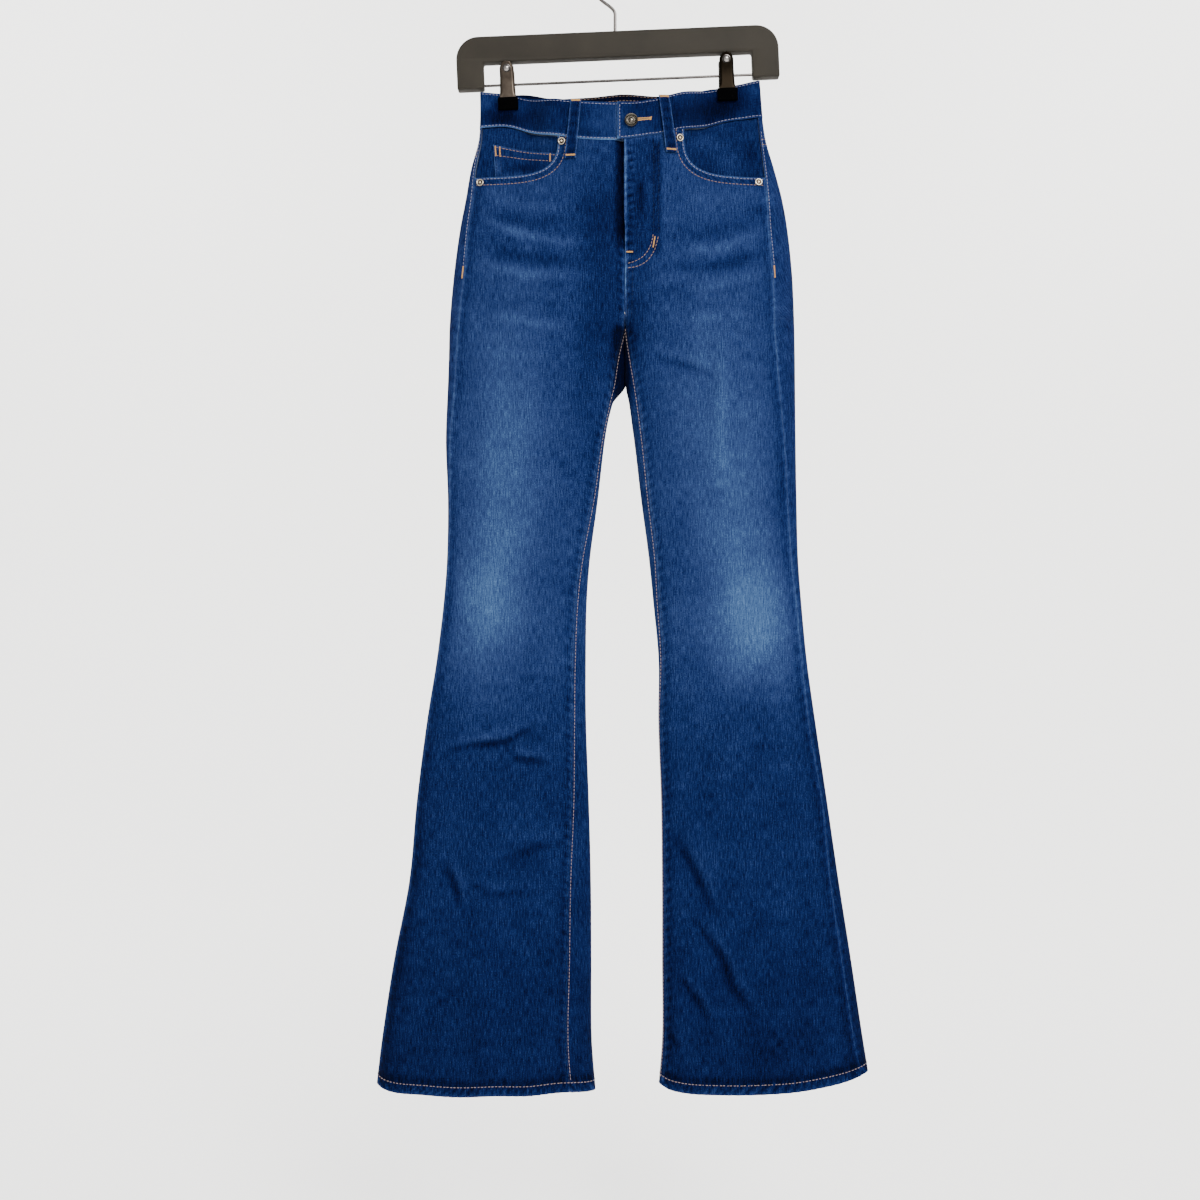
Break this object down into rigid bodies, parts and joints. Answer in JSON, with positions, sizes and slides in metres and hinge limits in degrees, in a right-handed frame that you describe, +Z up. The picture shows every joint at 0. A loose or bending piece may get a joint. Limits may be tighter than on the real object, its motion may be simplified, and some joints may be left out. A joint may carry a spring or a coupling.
{
  "type": "flared jeans on a clip hanger",
  "caption": "Flared five-pocket denim jeans hung flat by the waistband from two clips on a trouser hanger.",
  "frame": {"origin": "inner top of the hanger's hook, where a rail touches it", "axes": "+Z up, the front of the jeans faces -Y, +X towards the wearer's left leg"},
  "size_m": [0.5643, 0.0693, 1.294],
  "materials": {
    "denim": "indigo twill, worn pale on the thighs and knees",
    "thread": "spun topstitching thread",
    "rivet": "pale brass, dark in the wells",
    "button": "aged, stamped",
    "hanger_bar": "satin grey-brown",
    "steel": "bright wire",
    "clip": "dark nickel plate",
    "pad": "matt black"
  },
  "bodies": {
    "root": {"front_right": "denim", "front_left": "denim", "back_right": "denim", "back_left": "denim", "yoke_right": "denim", "yoke_left": "denim", "waistband": "denim", "fly_shield": "denim", "pocket_facing_right": "denim", "pocket_facing_left": "denim", "coin_pocket": "denim", "back_pocket_right": "denim", "back_pocket_left": "denim", "belt_loop_front_right": "denim", "belt_loop_front_left": "denim", "belt_loop_side_right": "denim", "belt_loop_side_left": "denim", "belt_loop_back": "denim", "rivet_right_upper": "rivet", "rivet_right_lower": "rivet", "rivet_left_upper": "rivet", "rivet_left_lower": "rivet", "button": "button", "hanger_frame": "hanger_bar", "hanger_rod": "steel", "hanger_hook": "steel", "clip_spring_right": "steel", "clip_spring_left": "steel", "clip_jaw_right_front": "clip", "clip_jaw_right_back": "clip", "clip_jaw_left_front": "clip", "clip_jaw_left_back": "clip", "clip_pad_right_front": "pad", "clip_pad_right_back": "pad", "clip_pad_left_front": "pad", "clip_pad_left_back": "pad"}
  },
  "joints": []
}
